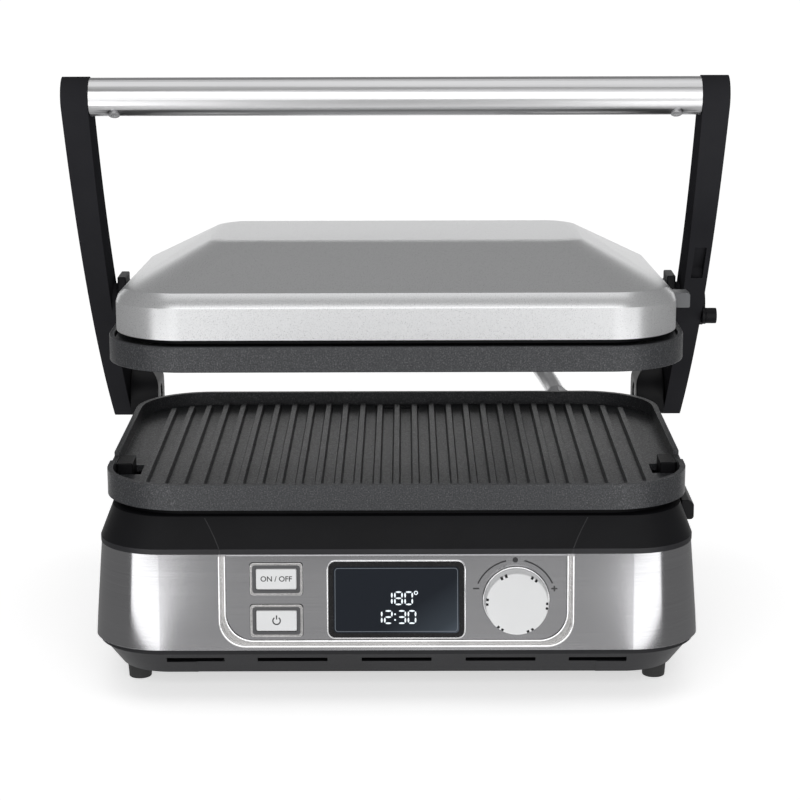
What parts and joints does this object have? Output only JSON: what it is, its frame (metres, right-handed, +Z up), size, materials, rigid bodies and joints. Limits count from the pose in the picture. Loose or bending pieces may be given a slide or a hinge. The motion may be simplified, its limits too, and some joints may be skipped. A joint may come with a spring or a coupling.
{
  "type": "electric indoor grill",
  "caption": "Countertop electric contact grill: low base with a control panel, ribbed plates, lid on two curved hinged arms joined by a tubular handle.",
  "frame": {"origin": "centre of the base footprint, on the surface under the feet", "axes": "+Z up, -Y to the control panel at the front, +X to the side with the height lever and the release buttons"},
  "size_m": [0.3844, 0.3681, 0.3384],
  "materials": {
    "black_plastic": "fine satin grain",
    "gloss_black": "gloss",
    "rubber": "matte",
    "stainless": "brushed sideways",
    "bright_trim": "polished",
    "display_glass": "clear",
    "display_screen": "dark screen",
    "white_cap": "satin",
    "circuit_board": "solder mask",
    "fastener": "plain",
    "reflector_sheet": "bright",
    "heater_tube": "oxidised",
    "nonstick": "dark non-stick coat with a fine fleck",
    "lid_paint": "silver metallic",
    "grey_plastic": "satin",
    "lead_sleeve": "satin sleeve"
  },
  "bodies": {
    "base": {"base_tub": "black_plastic", "feet": "rubber", "stainless_band": "stainless", "rear_panel": "black_plastic", "drip_runners": "black_plastic", "shoulder": "black_plastic", "panel_face": "stainless", "panel_border": "bright_trim", "display_frame": "gloss_black", "display_lens": "display_glass", "display_module": "display_screen", "button_frames": "bright_trim", "knob_ring": "bright_trim", "control_board": "circuit_board", "tact_switches": "black_plastic", "encoder": "fastener", "power_board": "circuit_board", "lower_reflector": "reflector_sheet", "lower_heater": "heater_tube", "lower_probe": "fastener", "lower_catch": "black_plastic", "hinge_tower_left": "black_plastic", "hinge_tower_right": "black_plastic", "hinge_pins": "fastener", "base_screws": "fastener", "cord_inlet": "rubber", "conduit_gland": "fastener", "conduit": "lead_sleeve"},
    "drip_tray": {"drip_tray": "black_plastic"},
    "lower_plate": {"lower_plate": "nonstick"},
    "lower_release": {"lower_latch": "black_plastic", "lower_release_button": "black_plastic"},
    "upper_heat_button": {"upper_heat_button": "white_cap"},
    "power_button": {"power_button": "white_cap"},
    "control_knob": {"control_knob": "white_cap"},
    "arms": {"arm_left": "black_plastic", "arm_right": "black_plastic", "handle_tube": "stainless", "handle_screws": "fastener", "pivot_pins": "fastener"},
    "height_lever": {"height_lever": "black_plastic"},
    "lid": {"lid_shell": "lid_paint", "lid_pan": "black_plastic", "pivot_blocks": "black_plastic", "lid_screws": "fastener", "upper_reflector": "reflector_sheet", "upper_heater": "heater_tube", "upper_probe": "fastener", "upper_catch": "black_plastic", "conduit_socket": "black_plastic"},
    "upper_plate": {"upper_plate": "nonstick"},
    "upper_release": {"upper_latch": "black_plastic", "upper_release_button": "grey_plastic"},
    "conduit_swivel": {"conduit_swivel": "fastener"}
  },
  "joints": [
    {"name": "drip_tray_slide", "type": "slide", "parent": "base", "child": "drip_tray", "axis": [0, 1, 0], "range_m": [0, 0.095]},
    {"name": "lower_plate_lift", "type": "slide", "parent": "base", "child": "lower_plate", "axis": [0, 0, 1], "range_m": [0, 0.04]},
    {"name": "lower_release_press", "type": "slide", "parent": "base", "child": "lower_release", "axis": [-1, 0, 0], "range_m": [0, 0.003], "stiffness_N_per_m": 1200, "springref_m": -0.001},
    {"name": "upper_heat_press", "type": "slide", "parent": "base", "child": "upper_heat_button", "axis": [0, 0.9965, -0.083], "range_m": [0, 0.0015], "stiffness_N_per_m": 900, "springref_m": -0.0004},
    {"name": "power_press", "type": "slide", "parent": "base", "child": "power_button", "axis": [0, 0.9965, -0.083], "range_m": [0, 0.0015], "stiffness_N_per_m": 900, "springref_m": -0.0004},
    {"name": "knob_turn", "type": "hinge", "parent": "base", "child": "control_knob", "pos_m": [0.066, -0.15059, 0.0599], "axis": [0, -0.9965, 0.083], "continuous": true},
    {"name": "arm_hinge", "type": "hinge", "parent": "base", "child": "arms", "pos_m": [0, 0.132, 0.112], "axis": [-1, 0, 0], "range_deg": [-30.67, 50]},
    {"name": "height_lever_turn", "type": "hinge", "parent": "arms", "child": "height_lever", "pos_m": [0.1876, 0.041, 0.18978], "axis": [1, 0, 0], "range_deg": [0, 40]},
    {"name": "lid_pivot", "type": "hinge", "parent": "arms", "child": "lid", "pos_m": [0, 0.041, 0.18978], "axis": [-1, 0, 0], "range_deg": [-50, 30.67]},
    {"name": "upper_plate_drop", "type": "slide", "parent": "lid", "child": "upper_plate", "axis": [0, 0, -1], "range_m": [0, 0.03]},
    {"name": "upper_release_press", "type": "slide", "parent": "lid", "child": "upper_release", "axis": [-1, 0, 0], "range_m": [0, 0.003], "stiffness_N_per_m": 1200, "springref_m": -0.001},
    {"name": "conduit_swivel_turn", "type": "hinge", "parent": "base", "child": "conduit_swivel", "pos_m": [0.052, 0.2255, 0.12672], "axis": [-1, 0, 0], "range_deg": [-30.67, 50], "deforming": ["conduit"]}
  ],
  "couplings": [
    {"joint": "lid_pivot", "follows": "arm_hinge", "ratio": -1},
    {"joint": "conduit_swivel_turn", "follows": "arm_hinge", "ratio": 1}
  ]
}
